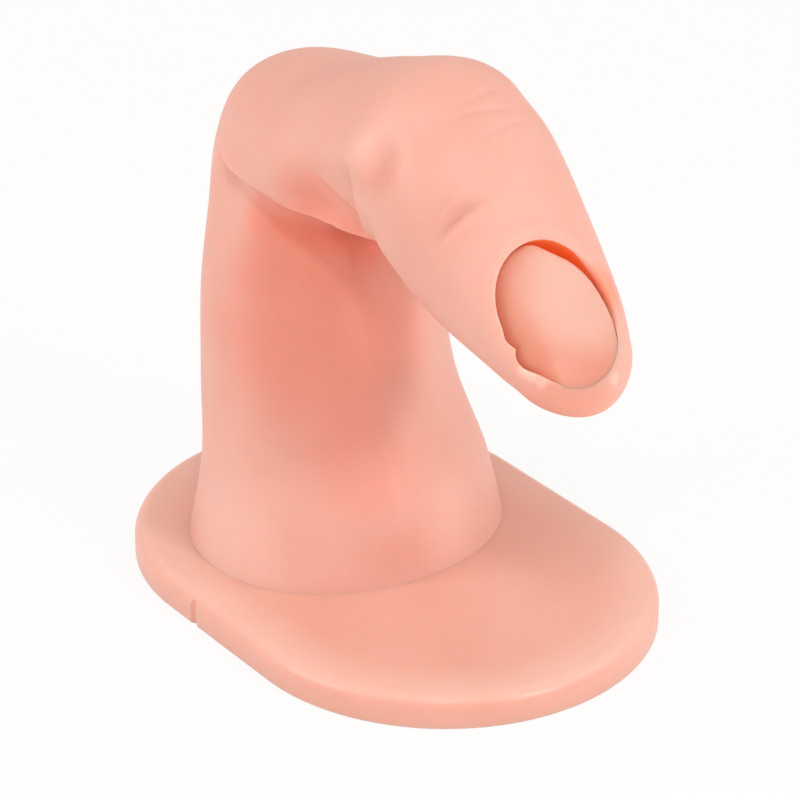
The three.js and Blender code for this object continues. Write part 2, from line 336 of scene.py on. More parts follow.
@dataclass(frozen=True)
class FingerForm:
    """Outer form of the finger, in mm: slices from foot to tip, with its creases and folds.

    Each flat of the column has the turn where it ends, in degrees from the palm, and its depth as a
    share of the radius. Each rounding of the nail's rim has its turn round the nail and its radius.
    """

    nail: NailPlace = field(default_factory=NailPlace)
    plate_top: float = PLATE_TOP
    slices: tuple[Slice, ...] = (
        Slice((29.2, PLATE_TOP), (-8.4, PLATE_TOP), 21.5),
        Slice((29.2, 14.5), (-8, 14), 18.8),
        Slice((31, 25.5), (-2.9, 24.7), 16.6),
        Slice((30.4, 38.4), (1, 37.6), 15.8),
        Slice((29.3, 49.6), (4.6, 46.1), 14.1),
        Slice((28, 60.1), (7.4, 49), 12.9),
        Slice((23.5, 67.3), (6.9, 50.1), 12.5),
        Slice((10.9, 70.1), (3.9, 51), 13.6),
        Slice((0.4, 73.8), (-2.7, 50.9), 12.8),
        Slice((-10.7, 76.8), (-8.7, 52.4), 12.4),
        Slice((-19, 72.9), (-11.8, 50.3), 12.8),
        Slice((-26.8, 65.7), (-19.6, 46.3), 11.8),
        Slice((-34.2, 56.6), (-30.9, 43.9), 10),
        Slice((-38.2, 50.7), (-36, 42.6), 8.3),
    )
    tip_point: tuple[float, float] = (-41.1, 42.2)
    tip_reach: float = 2.1
    squareness: float = 2.12

    ridge_turn: float = -12
    flats: tuple[tuple[float, float], ...] = ((-82, 0.08), (70, 0.045))
    flat_full_station: float = 0.9
    flat_fade_station: float = 4.2
    flat_end_station: float = 5.4

    crease_height: float = 54.3
    crease_rise_start: float = 4
    crease_rise_rate: float = 0.0135
    crease_front: tuple[float, float] = (-12, -7)
    crease_back: tuple[float, float] = (17, 22)
    crease_depth: float = 2.8
    crease_reach: float = 7
    crease_lip: float = 0.9
    crease_lip_reach: float = 3.5
    crease_softness: float = 0.35

    fold_place: float = -8.4
    fold_turn_height: float = 60
    fold_turn_rate: float = 0.07
    fold_depth: float = 2.3
    fold_reach: float = 6
    fold_softness: float = 0.35
    fold_heights: tuple[float, float] = (61, 67)

    flap_place: tuple[float, float] = (-2.6, 60.8)
    flap_slope: float = -1.3
    flap_depth: float = 0.8
    flap_reach: float = 2.5
    flap_height: float = 1.8
    flap_below: float = 1
    flap_softness: float = 0.3

    hollows: tuple[Hollow, ...] = (
        Hollow((-13.9, 66.6), 1.9, 4.2, 1.3),
        Hollow((0.8, 57.2), 4.6, 3.2, 1.7),
        Hollow((-8.8, 67.6), 2.8, 2.8, -0.7),
    )

    flank_start: float = 3
    flank_full: float = 8

    wrinkles: tuple[Wrinkle, ...] = (
        Wrinkle(10.82, 46, 21, 0.08, 0.95),
        Wrinkle(10.98, 46, 22, 0.1, -0.55),
        Wrinkle(10.66, 50, 14, 0.04, 0.32, 0.15),
        Wrinkle(9.68, -6, 15, 0.05, 0.24, 0.3),
        Wrinkle(9.92, -2, 18, 0.05, 0.27, -0.2),
        Wrinkle(10.18, -8, 16, 0.05, 0.22, 0.2),
        Wrinkle(8.45, 8, 9, 0.05, 0.12),
        Wrinkle(9.1, -18, 9, 0.04, 0.1),
    )

    rim_rounds: tuple[tuple[float, float], ...] = (
        (8, 0.3),
        (20, 0.12),
        (60, 0.12),
        (75, 0.3),
        (138, 0.3),
        (150, 0.9),
        (166, 1.4),
        (192, 1.3),
        (214, 0.3),
    )
    rim_swell: float = 0.2
    rim_swell_place: float = 1.4
    rim_swell_width: float = 1
    lips: tuple[Lip, ...] = (Lip(33, 13, 0.3, 0.4, 0.6), Lip(108, 9, 0.9, 0.4, 0.4))
    rim_depth: float = -5
    flush_turns: tuple[float, float] = (54, 142)
    flush_ease: float = 14

    foot_fillet: float = 0.2
    foot_sink: float = 0.15

    @property
    def last_station(self) -> int:
        """Number of the last slice."""
        return len(self.slices) - 1

    def flat_share(self, stations: np.ndarray, turns: np.ndarray) -> np.ndarray:
        """Finds by what share the column's flats pull points in.

        Args:
            stations: Places along the finger, counted in slices from the foot.
            turns: Angles round the finger from its back.

        Returns:
            The share at each point, 0 off the flats.
        """
        from_palm = np.degrees(turns % FULL_TURN - math.pi)
        rise = smoothstep(stations, 0, self.flat_full_station)
        fade = 1 - smoothstep(stations, self.flat_fade_station, self.flat_end_station)
        depth = np.zeros_like(from_palm)
        for end_turn, depth_share in self.flats:
            off_centre = 2 * (from_palm - self.ridge_turn) / (end_turn - self.ridge_turn) - 1
            off_centre = np.clip(off_centre, -1, 1)
            crisp = 1 - off_centre**2
            soft = np.cos(off_centre * QUARTER_TURN) ** 2
            depth = np.maximum(depth, depth_share * np.where(off_centre < 0, crisp, soft))
        return rise * fade * depth

    def crease_line(self, y: np.ndarray) -> np.ndarray:
        """Returns the height of the flexion crease at places along the finger."""
        return self.crease_height + self.crease_rise_rate * np.maximum(y - self.crease_rise_start, 0) ** 2

    def crease_shift(self, y: np.ndarray, z: np.ndarray) -> np.ndarray:
        """Finds how far the flexion crease moves a flank inwards.

        Args:
            y: Places along the finger, in mm.
            z: Their heights, in mm.

        Returns:
            The move at each point, in mm, negative on the lip over the crease.
        """
        above = z - self.crease_line(y)
        under = self.crease_depth * np.exp(np.minimum(above, 0) / self.crease_reach)
        over = -self.crease_lip * np.exp(-np.maximum(above, 0) / self.crease_lip_reach)
        ends = smoothstep(y, *self.crease_front) * (1 - smoothstep(y, *self.crease_back))
        share = smoothstep(above, -self.crease_softness, self.crease_softness)
        return (under + (over - under) * share) * ends

    def fold_shift(self, y: np.ndarray, z: np.ndarray) -> np.ndarray:
        """Finds how far the fold at the end joint moves a flank inwards, behind its edge.

        Args:
            y: Places along the finger, in mm.
            z: Their heights, in mm.

        Returns:
            The move at each point, in mm.
        """
        turned = self.fold_turn_rate * np.maximum(self.fold_turn_height - z, 0) ** 2
        behind = y - self.fold_place - turned
        edge = smoothstep(behind, -self.fold_softness, self.fold_softness)
        low = 1 - smoothstep(z, *self.fold_heights)
        high = smoothstep(z - self.crease_line(y), 0, self.crease_lip_reach)
        return self.fold_depth * edge * low * high * np.exp(-np.maximum(behind, 0) / self.fold_reach)

    def hollow_shift(self, y: np.ndarray, z: np.ndarray) -> np.ndarray:
        """Finds how far the soft hollows and the small flap of skin move a flank inwards.

        Args:
            y: Places along the finger, in mm.
            z: Their heights, in mm.

        Returns:
            The move at each point, in mm, negative on a swelling.
        """
        total = np.zeros_like(y)
        flap = y - self.flap_place[0] - self.flap_slope * (self.flap_place[1] - z)
        edge = smoothstep(flap, -self.flap_softness, self.flap_softness)
        fade = np.exp(-np.maximum(flap, 0) / self.flap_reach)
        upwards = bell((z - self.flap_place[1] + self.flap_below) / self.flap_height)
        total += self.flap_depth * edge * fade * upwards
        for hollow in self.hollows:
            across = bell((y - hollow.place[0]) / hollow.half_width)
            total += hollow.depth * across * bell((z - hollow.place[1]) / hollow.half_height)
        return total

    def wrinkle_shift(self, stations: np.ndarray, turns: np.ndarray) -> np.ndarray:
        """Finds how deep the wrinkles of the back are.

        Args:
            stations: Places along the finger, counted in slices from the foot.
            turns: Angles round the finger from its back.

        Returns:
            The depth at each point, in mm, negative on a wrinkle's raised edge.
        """
        signed = (turns + math.pi) % FULL_TURN - math.pi
        total = np.zeros_like(stations)
        for wrinkle in self.wrinkles:
            turn = signed - math.radians(wrinkle.turn)
            station = stations - wrinkle.station - wrinkle.slant * turn
            reach = math.radians(wrinkle.reach)
            total += wrinkle.depth * bell(station / wrinkle.width) * bell(turn / reach)
        return total

    def rim_shift(self, points: np.ndarray) -> np.ndarray:
        """Finds how far the skin sinks into the pocket's rounded rim, less its swelling and lips.

        Args:
            points: Points of the skin, in mm.

        Returns:
            The depth at each point, in mm.
        """
        across, along, out = self.nail.to_nail(points).T
        beyond = self.nail.beyond_rim(across, along)
        turn = np.degrees(self.nail.in_outline(across, along)[1]) % 360
        rounding = np.interp(turn, *zip(*self.rim_rounds))
        share = np.clip(1 - beyond / rounding, 0, 1)
        sink = rounding * (1 - np.sqrt(1 - share**2))
        swell = self.rim_swell * bell((beyond - self.rim_swell_place) / self.rim_swell_width)
        proud = 1 - self.flush_share(across, along)
        shift = (sink - swell * (beyond > 0)) * proud
        for lip in self.lips:
            height = lip.height * bell((turn - lip.turn) / lip.half_turn)
            shift -= height * bell((beyond - lip.beyond) / lip.half_width)
        return shift * (out > self.rim_depth)

    def flush_share(self, across: np.ndarray, along: np.ndarray) -> np.ndarray:
        """Finds where the nail runs level into the fingertip.

        Args:
            across: Places across the nail's plane, in mm.
            along: Places along it, in mm.

        Returns:
            1 where it runs level and 0 where it has a rim.
        """
        turn = np.degrees(self.nail.in_outline(across, along)[1]) % 360
        start, end = self.flush_turns
        rise = smoothstep(turn, start - self.flush_ease, start)
        return rise * (1 - smoothstep(turn, end, end + self.flush_ease))

    def slice_at(self, stations: np.ndarray) -> tuple[np.ndarray, np.ndarray, np.ndarray]:
        """Finds slices of the finger. Past the last one they run on along its slopes and close the tip.

        Args:
            stations: Places along the finger, counted in slices from the foot.

        Returns:
            Their back ends, palm ends and half widths, in mm.
        """
        rows = np.array([(*s.back, *s.palm, s.half_width) for s in self.slices], float)
        tip = np.clip(stations - self.last_station, 0, 1)[:, None] * QUARTER_TURN
        slope = (rows[-1] - rows[-2]) / 2 * self.tip_reach
        found = curve_at(rows, stations)
        ends = found[:, :4] + slope[:4] * np.sin(tip)
        ends = ends + (np.array(self.tip_point * 2) - rows[-1, :4] - slope[:4]) * (1 - np.cos(tip))
        half_width = (found[:, 4:] + slope[4] * np.sin(tip)) * np.cos(tip)
        return ends[:, :2], ends[:, 2:], half_width[:, 0]

    def points(self, stations: np.ndarray, turns: np.ndarray, rim: bool = True) -> np.ndarray:
        """Finds points on the skin.

        Args:
            stations: Places along the finger, counted in slices from the foot.
            turns: Angles round the finger from its back.
            rim: Whether the skin rounds off at the pocket's rim.

        Returns:
            One point for each pair, in mm.
        """
        back, palm, half_width = self.slice_at(stations)
        outward = back - palm
        half_depth = np.hypot(*outward.T) / 2
        outward = outward / (2 * np.maximum(half_depth, TINY)[:, None])
        centre = (back + palm) / 2
        shrink = 1 - self.flat_share(stations, turns)
        shift = self.wrinkle_shift(stations, turns)
        power = 2 / self.squareness
        x = -signed_power(np.sin(turns), power) * (half_width - shift) * shrink
        depth = signed_power(np.cos(turns), power) * (half_depth - shift) * shrink
        y = centre[:, 0] + outward[:, 0] * depth
        z = centre[:, 1] + outward[:, 1] * depth
        shift = self.crease_shift(y, z) + self.fold_shift(y, z) + self.hollow_shift(y, z)
        shift = shift * smoothstep(np.abs(x), self.flank_start, self.flank_full)
        x = x - np.sign(x) * shift
        found = np.stack([x, y, z], 1)
        if not rim:
            return found
        out = np.array(self.nail.matrix())[:3, 2]
        return found - self.rim_shift(found)[:, None] * out


# Mesh work shared by the pieces


def only(piece: bpy.types.Object) -> None:
    """Makes one piece the only selected and the active object.

    Args:
        piece: The piece.
    """
    bpy.ops.object.select_all(action="DESELECT")
    piece.select_set(True)
    bpy.context.view_layer.objects.active = piece


def place_points(piece: bpy.types.Object, points: np.ndarray) -> None:
    """Moves a piece's vertices to points given in mm."""
    piece.data.vertices.foreach_set("co", (points * MM).astype(np.float32).ravel())
    piece.data.update()


def mapped_grid(
    name: str, columns: int, rows: int, place: Callable[[np.ndarray, np.ndarray], np.ndarray]
) -> bpy.types.Object:
    """Adds a flat grid and wraps it over a surface.

    Args:
        name: The piece's name.
        columns: Faces round the surface.
        rows: Faces along it.
        place: Gives the points in mm for shares round and along the surface.

    Returns:
        The wrapped mesh, still open at its ends.
    """
    bpy.ops.object.select_all(action="DESELECT")
    bpy.ops.mesh.primitive_grid_add(x_subdivisions=columns, y_subdivisions=rows, size=1)
    piece = bpy.context.object
    piece.name = name
    flat = np.empty(len(piece.data.vertices) * 3, np.float32)
    piece.data.vertices.foreach_get("co", flat)
    shares = flat.reshape(-1, 3)[:, :2].astype(float) + 0.5
    place_points(piece, place(shares[:, 0], shares[:, 1]))
    return piece


def close_up(piece: bpy.types.Object) -> None:
    """Joins a wrapped grid's seam, fills its open end and turns its faces outwards.

    Args:
        piece: The wrapped grid.
    """
    only(piece)
    bpy.ops.object.mode_set(mode="EDIT")
    bpy.ops.mesh.select_all(action="SELECT")
    bpy.ops.mesh.remove_doubles(threshold=JOIN_DISTANCE)
    bpy.ops.mesh.select_all(action="DESELECT")
    bpy.ops.mesh.select_mode(type="EDGE")
    bpy.ops.mesh.select_non_manifold(extend=False, use_wire=False, use_multi_face=False)
    bpy.ops.mesh.edge_face_add()
    bpy.ops.mesh.select_all(action="SELECT")
    bpy.ops.mesh.normals_make_consistent(inside=False)
    bpy.ops.object.mode_set(mode="OBJECT")


def cut_away(piece: bpy.types.Object, cutter: bpy.types.Object) -> None:
    """Cuts one closed shape out of another and removes the cutter.

    Args:
        piece: The shape that stays.
        cutter: The shape that is taken out of it.
    """
    only(piece)
    cut = piece.modifiers.new("cut", "BOOLEAN")
    cut.operation = "DIFFERENCE"
    cut.solver = "EXACT"
    cut.material_mode = "TRANSFER"
    cut.object = cutter
    bpy.ops.object.modifier_apply(modifier=cut.name)
    bpy.data.objects.remove(cutter)


def select_points(piece: bpy.types.Object, wanted: Callable[[bpy.types.MeshVertex], bool]) -> None:
    """Selects the vertices that a test picks, and leaves the piece in edit mode.

    Args:
        piece: The piece.
        wanted: The test.
    """
    only(piece)
    bpy.ops.object.mode_set(mode="EDIT")
    bpy.ops.mesh.select_mode(type="VERT")
    bpy.ops.mesh.select_all(action="DESELECT")
    bpy.ops.object.mode_set(mode="OBJECT")
    for vertex in piece.data.vertices:
        vertex.select = wanted(vertex)
    bpy.ops.object.mode_set(mode="EDIT")


def smooth(piece: bpy.types.Object, degrees: float) -> None:
    """Shades a piece smooth, apart from edges sharper than an angle."""
    only(piece)
    bpy.ops.object.shade_smooth_by_angle(angle=math.radians(degrees))


# Materials


# Sockets of the Mix node where it mixes colours
MIX_SHARE = 0
MIX_COLOUR = 6
MIX_SHADE = 7
MIX_RESULT = 2


def linear(colour: str) -> tuple[float, float, float, float]:
    """Turns an sRGB colour into the linear values that shaders take.

    Args:
        colour: The colour, as six hex digits after a hash sign.

    Returns:
        Its red, green and blue, and full opacity.
    """
    channels = [int(colour[i : i + 2], 16) / 255 for i in (1, 3, 5)]
    turned = [c / 12.92 if c <= 0.04045 else ((c + 0.055) / 1.055) ** 2.4 for c in channels]
    return (*turned, 1.0)


def add_node(
    tree: bpy.types.NodeTree,
    kind: str,
    values: dict | None = None,
    links: dict | None = None,
    **settings: object,
) -> bpy.types.Node:
    """Adds a shader node.

    Args:
        tree: The node tree.
        kind: The node's type.
        values: Values for its sockets, by name or number.
        links: Sockets that feed its own, by name or number.
        settings: The node's own settings.

    Returns:
        The new node.
    """
    node = tree.nodes.new(kind)
    for name, value in settings.items():
        setattr(node, name, value)
    for socket, value in (values or {}).items():
        node.inputs[socket].default_value = value
    for socket, source in (links or {}).items():
        tree.links.new(source, node.inputs[socket])
    return node


def join(
    tree: bpy.types.NodeTree, first: bpy.types.NodeSocket, second: bpy.types.NodeSocket, how: Join
) -> bpy.types.NodeSocket:
    """Makes one value of two.

    Args:
        tree: The node tree.
        first: The socket with the first value.
        second: The socket with the second value.
        how: What is taken of them.

    Returns:
        The socket with the result.
    """
    links = {0: first, 1: second}
    return add_node(tree, "ShaderNodeMath", links=links, operation=how.value).outputs[0]


def ease(
    tree: bpy.types.NodeTree,
    length: bpy.types.NodeSocket,
    limits: tuple[float, float],
    values: tuple[float, float],
    change: Change = Change.SOFT,
) -> bpy.types.NodeSocket:
    """Turns a length into a value that changes between two limits.

    Args:
        tree: The node tree.
        length: The socket that gives the length.
        limits: The lengths between which the value changes, in mm.
        values: The values at those two lengths.
        change: How the value changes between them.

    Returns:
        The socket with the value.
    """
    (low, high), (start, end) = limits, values
    numbers = {"From Min": low * MM, "From Max": high * MM, "To Min": start, "To Max": end}
    links = {"Value": length}
    node = add_node(tree, "ShaderNodeMapRange", numbers, links, interpolation_type=change.value)
    return node.outputs["Result"]


def spread(
    tree: bpy.types.NodeTree,
    place: bpy.types.NodeSocket,
    centre: tuple[float, float, float],
    reach: tuple[float, float],
    values: tuple[float, float],
) -> bpy.types.NodeSocket:
    """Spreads a value round a centre.

    Args:
        tree: The node tree.
        place: The socket that gives places on the object.
        centre: The centre, in mm.
        reach: Distances from it between which the value changes, in mm.
        values: The values at those two distances.

    Returns:
        The socket with the value.
    """
    numbers = {1: [c * MM for c in centre]}
    node = add_node(tree, "ShaderNodeVectorMath", numbers, {0: place}, operation="DISTANCE")
    return ease(tree, node.outputs["Value"], reach, values)


def tint(
    tree: bpy.types.NodeTree,
    colour: bpy.types.NodeSocket,
    shade: PaintedLight,
    share: bpy.types.NodeSocket,
) -> bpy.types.NodeSocket:
    """Mixes a colour of painted shade or painted highlight into a colour.

    Args:
        tree: The node tree.
        colour: The socket with the colour.
        shade: The painted shade or highlight.
        share: The socket with the shade's share.

    Returns:
        The socket with the mixed colour.
    """
    links = {MIX_SHARE: share, MIX_COLOUR: colour}
    node = add_node(tree, "ShaderNodeMix", {MIX_SHADE: linear(shade.value)}, links, data_type="RGBA")
    return node.outputs[MIX_RESULT]


def noise(
    tree: bpy.types.NodeTree, place: bpy.types.NodeSocket, size: float, detail: float
) -> bpy.types.NodeSocket:
    """Adds a soft cloudy pattern.

    Args:
        tree: The node tree.
        place: The socket that gives places on the object.
        size: The size of its clouds, in mm.
        detail: How many times finer clouds are laid over them.

    Returns:
        The socket with the pattern, from 0 to 1.
    """
    values = {"Scale": 1 / (size * MM), "Detail": detail}
    return add_node(tree, "ShaderNodeTexNoise", values, {"Vector": place}).outputs["Fac"]


def relief(
    tree: bpy.types.NodeTree,
    pattern: bpy.types.NodeSocket,
    depth: float,
    over: bpy.types.NodeSocket | None = None,
) -> bpy.types.NodeSocket:
    """Raises a surface by a pattern.

    Args:
        tree: The node tree.
        pattern: The socket with the pattern.
        depth: How deep the relief is, in mm.
        over: The socket with a relief that lies under this one.

    Returns:
        The socket with the surface's turned normals.
    """
    links = {"Height": pattern}
    if over is not None:
        links["Normal"] = over
    node = add_node(tree, "ShaderNodeBump", {"Strength": 1.0, "Distance": depth * MM}, links)
    return node.outputs["Normal"]


@dataclass(frozen=True)
class PaintedPatch:
    """A soft patch of painted shade or painted highlight round a place, in mm.

    Its reach is the distances from the place at which it starts and is full.
    """

    place: tuple[float, float, float]
    reach: tuple[float, float]
    share: float
    shade: PaintedLight = PaintedLight.NAIL_RIM


@dataclass(frozen=True)
class SoftVinyl:
    """Soft PVC, moulded in a satin mould: light sinks in a little and warms shaded folds.

    Sizes are in mm. The grain is the mould's fine blasted texture, drawn a little coarser to show. The
    seam values lessen the sinking light next to a joint, where it would be lost and leave a dark line.
    The patches paint shade and highlights, and the glow values paint an orange glow round one place,
    for light seen through thin vinyl. The edge values paint a highlight along a rounded rim, by its
    distance from a middle line and its height. The line runs along Y through the origin, to both sides
    of it.
    """

    name: str
    colour: str
    pale: str
    warm: str
    roughness: float = 0.5
    roughness_range: tuple[float, float] = (-0.05, 0.06)
    ior: float = 1.52
    scatter: float = 0.6
    scatter_radius: tuple[float, float, float] = (2.2, 1.1, 0.7)

    mottle_size: float = 14
    mottle_detail: float = 3
    mottle_steps: tuple[float, float, float] = (0.3, 0.5, 0.72)
    grain_size: float = 0.55
    grain_detail: float = 2
    grain_depth: float = 0.02
    wave_size: float = 5
    wave_detail: float = 1
    wave_depth: float = 0.06

    # Painted light: an orange glow given out round one place, for light seen through thin vinyl
    glow: float = 0
    glow_colour: str = "#FF5A1E"
    glow_place: tuple[float, float, float] = (0, 0, 0)
    glow_reach: tuple[float, float] = (2.5, 8)

    painted_patches: tuple[PaintedPatch, ...] = ()

    seam_heights: tuple[float, float] | None = None
    seam_scatter: float = 0.1

    # Painted highlight along a rounded rim
    edge_highlight_share: float = 0
    edge_highlight_line: float = 0
    edge_highlight_reach: tuple[float, float] = (0, 1)
    edge_highlight_heights: tuple[float, float] = (0, 1)

    def build(self) -> bpy.types.Material:
        """Makes the material with its colour variation, painted shade, highlights and glow, grain and
        soft waves.

        Returns:
            The new material.
        """
        material = bpy.data.materials.new(self.name)
        material.use_nodes = True
        tree = material.node_tree
        place = add_node(tree, "ShaderNodeTexCoord").outputs["Object"]
        mottle = noise(tree, place, self.mottle_size, self.mottle_detail)
        grain = noise(tree, place, self.grain_size, self.grain_detail)
        waves = noise(tree, place, self.wave_size, self.wave_detail)
        values = {
            "IOR": self.ior,
            "Subsurface Weight": self.scatter,
            "Subsurface Radius": self.scatter_radius,
            "Subsurface Scale": MM,
        }
        links = {
            "Base Color": self.patched_colour(tree, place, mottle),
            "Roughness": self.uneven_gloss(tree, mottle),
            "Normal": relief(tree, waves, self.wave_depth, relief(tree, grain, self.grain_depth)),
        }
        if self.seam_heights:
            height = add_node(tree, "ShaderNodeSeparateXYZ", links={0: place}).outputs["Z"]
            weights = (self.seam_scatter, self.scatter)
            links["Subsurface Weight"] = ease(tree, height, self.seam_heights, weights, Change.EVEN)
        # Paints the glow with emission, strongest at its place
        if self.glow:
            strengths = (self.glow, 0.0)
            values["Emission Color"] = linear(self.glow_colour)
            links["Emission Strength"] = spread(
                tree, place, self.glow_place, self.glow_reach, strengths
            )
        shader = tree.nodes["Principled BSDF"]
        for socket, value in values.items():
            shader.inputs[socket].default_value = value
        for socket, source in links.items():
            tree.links.new(source, shader.inputs[socket])
        return material

    def patched_colour(
        self, tree: bpy.types.NodeTree, place: bpy.types.NodeSocket, mottle: bpy.types.NodeSocket
    ) -> bpy.types.NodeSocket:
        """Colours the vinyl: three near shades in soft clouds, then each patch of painted shade or
        highlight and the painted edge highlight.

        Args:
            tree: The node tree.
            place: The socket that gives places on the object.
            mottle: The socket with the pattern of the clouds.

        Returns:
            The socket with the colour.
        """
        ramp = add_node(tree, "ShaderNodeValToRGB", links={"Fac": mottle})
        low, middle, high = self.mottle_steps
        steps = ramp.color_ramp.elements
        steps[0].position = low
        steps[0].color = linear(self.warm)
        steps[1].position = high
        steps[1].color = linear(self.pale)
        steps.new(middle).color = linear(self.colour)
        colour = ramp.outputs["Color"]
        # Mixes in each patch of painted shade or painted highlight
        for painted_patch in self.painted_patches:
            share = spread(tree, place, painted_patch.place, painted_patch.reach, (0.0, painted_patch.share))
            colour = tint(tree, colour, painted_patch.shade, share)
        # Paints a highlight along the rounded rim
        if self.edge_highlight_share:
            colour = tint(tree, colour, PaintedLight.PLATE_EDGE, self.painted_edge_highlight(tree, place))
        return colour

    def uneven_gloss(
        self, tree: bpy.types.NodeTree, mottle: bpy.types.NodeSocket
    ) -> bpy.types.NodeSocket:
        """Makes the surface a little glossier in some clouds than in others.

        Args:
            tree: The node tree.
            mottle: The socket with the pattern of the clouds.

        Returns:
            The socket with the roughness.
        """
        low, high = self.roughness_range
        limits = {"To Min": self.roughness + low, "To Max": self.roughness + high}
        return add_node(tree, "ShaderNodeMapRange", limits, {"Value": mottle}).outputs["Result"]

    def painted_edge_highlight(
        self, tree: bpy.types.NodeTree, place: bpy.types.NodeSocket
    ) -> bpy.types.NodeSocket:
        """Finds how strong the painted highlight along the rounded rim is.

        Args:
            tree: The node tree.
            place: The socket that gives places on the object.

        Returns:
            The socket with the share of the pale colour.
        """
        kind = "ShaderNodeVectorMath"
        end = self.edge_highlight_line * MM
        any_height = 1.0
        low = {1: (0, -end, -any_height)}
        high = {1: (0, end, any_height)}
        nearest = add_node(tree, kind, high, {0: place}, operation="MINIMUM").outputs[0]
        nearest = add_node(tree, kind, low, {0: nearest}, operation="MAXIMUM").outputs[0]
        across = add_node(tree, kind, links={0: place, 1: nearest}, operation="DISTANCE")
        height = add_node(tree, "ShaderNodeSeparateXYZ", links={0: place}).outputs["Z"]
        outwards = ease(tree, across.outputs["Value"], self.edge_highlight_reach, (0.0, self.edge_highlight_share))
        upwards = ease(tree, height, self.edge_highlight_heights, (0.0, 1.0))
        return join(tree, outwards, upwards, Join.PRODUCT)


@dataclass(frozen=True)
class StudioPaper:
    """Matt white paper, shown nearly plain white to the eye, so that only a soft shadow stays."""

    name: str = "white_paper"
    colour: str = "#F4F4F4"
    own_white_share: float = 0.88

    def build(self) -> bpy.types.Material:
        """Makes the paper.

        Returns:
            The new material.
        """
        material = bpy.data.materials.new(self.name)
        material.use_nodes = True
        tree = material.node_tree
        tree.nodes.clear()
        rays = add_node(tree, "ShaderNodeLightPath").outputs
        seen = join(tree, rays["Is Camera Ray"], rays["Is Glossy Ray"], Join.LARGER)
        seen = join(tree, seen, rays["Is Transmission Ray"], Join.LARGER)
        own = {1: self.own_white_share}
        share = add_node(tree, "ShaderNodeMath", own, {0: seen}, operation=Join.PRODUCT.value)
        matt = add_node(tree, "ShaderNodeBsdfDiffuse", {"Color": linear(self.colour)})
        white = add_node(tree, "ShaderNodeEmission", {"Strength": 1.0})
        links = {0: share.outputs[0], 1: matt.outputs[0], 2: white.outputs[0]}
        mixed = add_node(tree, "ShaderNodeMixShader", links=links)
        add_node(tree, "ShaderNodeOutputMaterial", links={"Surface": mixed.outputs[0]})
        return material


# Pieces


